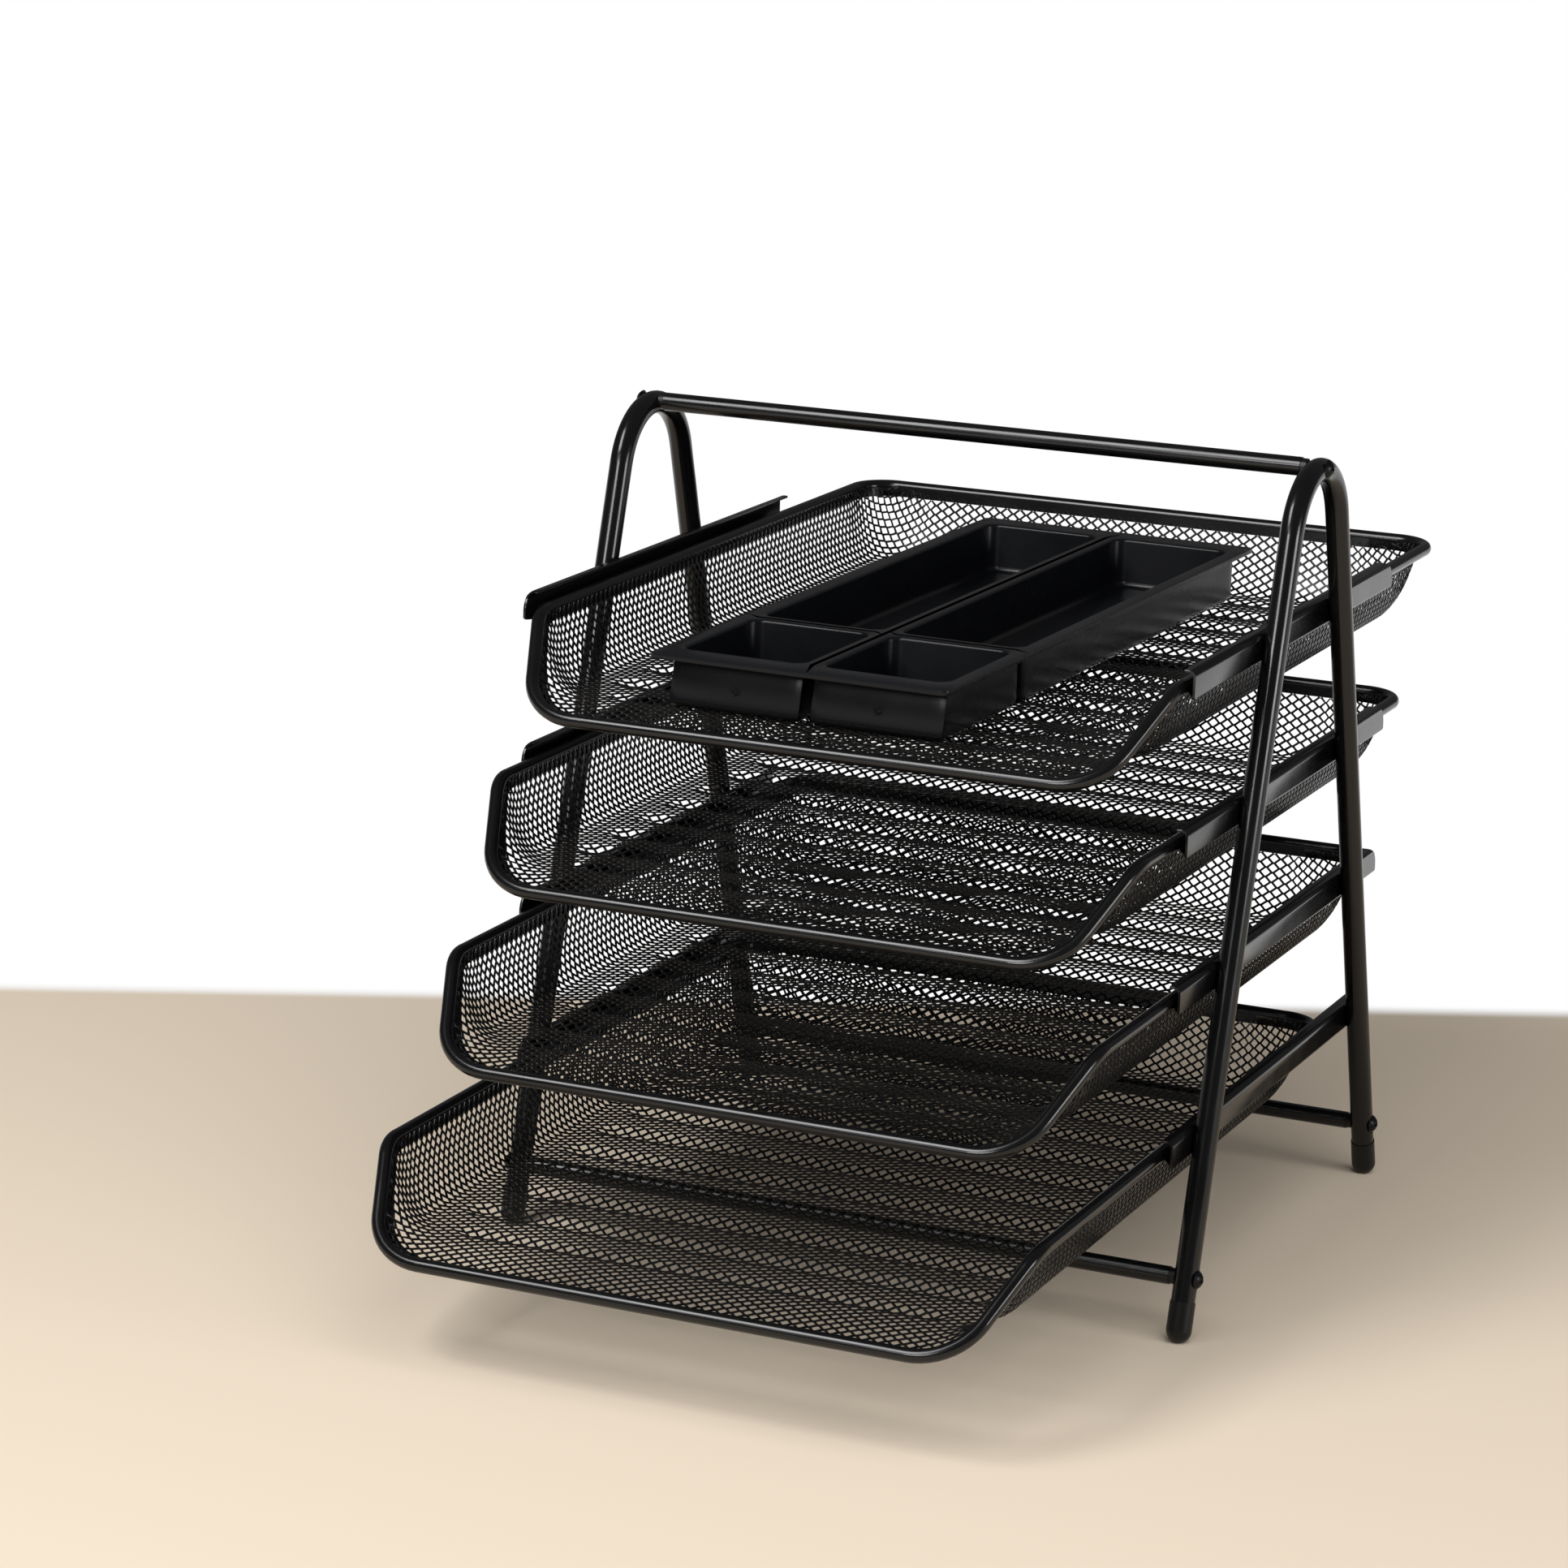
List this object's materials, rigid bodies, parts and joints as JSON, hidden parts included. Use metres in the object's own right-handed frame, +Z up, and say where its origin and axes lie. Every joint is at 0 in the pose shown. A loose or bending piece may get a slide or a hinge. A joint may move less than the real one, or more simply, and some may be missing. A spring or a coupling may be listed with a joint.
{
  "type": "letter tray stack",
  "caption": "Black steel desk organizer: staggered mesh letter trays sliding in rails between two tube hoops, with a moulded insert in the top tray",
  "frame": {"origin": "on the desk, midway between the four feet", "axes": "+X right as seen from the front, +Y to the back, +Z up; the trays pull out along -Y"},
  "size_m": [0.2894, 0.4705, 0.3136],
  "materials": {
    "powder_coated_steel": "satin black powder coat over bent steel tube and sheet",
    "expanded_steel_mesh": "satin black powder coat over expanded steel mesh",
    "black_screw_steel": "black oxide screw steel, slightly glossier than the tube",
    "moulded_foot_plastic": "smooth moulded black plastic",
    "moulded_insert_plastic": "fine-grained moulded black plastic with a soft sheen"
  },
  "bodies": {
    "frame": {"left_hoop": "powder_coated_steel", "right_hoop": "powder_coated_steel", "handle_bar": "powder_coated_steel", "front_crossbar": "powder_coated_steel", "rear_crossbar": "powder_coated_steel", "handle_bar_plugs": "moulded_foot_plastic", "front_crossbar_plugs": "moulded_foot_plastic", "rear_crossbar_plugs": "moulded_foot_plastic", "handle_bar_screws": "black_screw_steel", "crossbar_screws": "black_screw_steel", "foot_front_left": "moulded_foot_plastic", "foot_front_right": "moulded_foot_plastic", "foot_rear_left": "moulded_foot_plastic", "foot_rear_right": "moulded_foot_plastic", "rail_1_left": "powder_coated_steel", "rail_1_right": "powder_coated_steel", "rail_2_left": "powder_coated_steel", "rail_2_right": "powder_coated_steel", "rail_3_left": "powder_coated_steel", "rail_3_right": "powder_coated_steel", "rail_4_left": "powder_coated_steel", "rail_4_right": "powder_coated_steel"},
    "tray_1": {"tray_1_rim": "powder_coated_steel", "tray_1_basket": "expanded_steel_mesh"},
    "tray_2": {"tray_2_rim": "powder_coated_steel", "tray_2_basket": "expanded_steel_mesh"},
    "tray_3": {"tray_3_rim": "powder_coated_steel", "tray_3_basket": "expanded_steel_mesh"},
    "tray_4": {"tray_4_rim": "powder_coated_steel", "tray_4_basket": "expanded_steel_mesh"},
    "insert": {"organizer_insert": "moulded_insert_plastic"}
  },
  "joints": [
    {"name": "tray_1_slide", "type": "slide", "parent": "frame", "child": "tray_1", "axis": [0, -1, 0], "range_m": [0, 0.18]},
    {"name": "tray_2_slide", "type": "slide", "parent": "frame", "child": "tray_2", "axis": [0, -1, 0], "range_m": [-0.0295, 0.1505]},
    {"name": "tray_3_slide", "type": "slide", "parent": "frame", "child": "tray_3", "axis": [0, -1, 0], "range_m": [-0.067, 0.113]},
    {"name": "tray_4_slide", "type": "slide", "parent": "frame", "child": "tray_4", "axis": [0, -1, 0], "range_m": [-0.115, 0.065]},
    {"name": "insert_lift", "type": "slide", "parent": "tray_1", "child": "insert", "axis": [0, 0, 1], "range_m": [0, 0.05]}
  ]
}
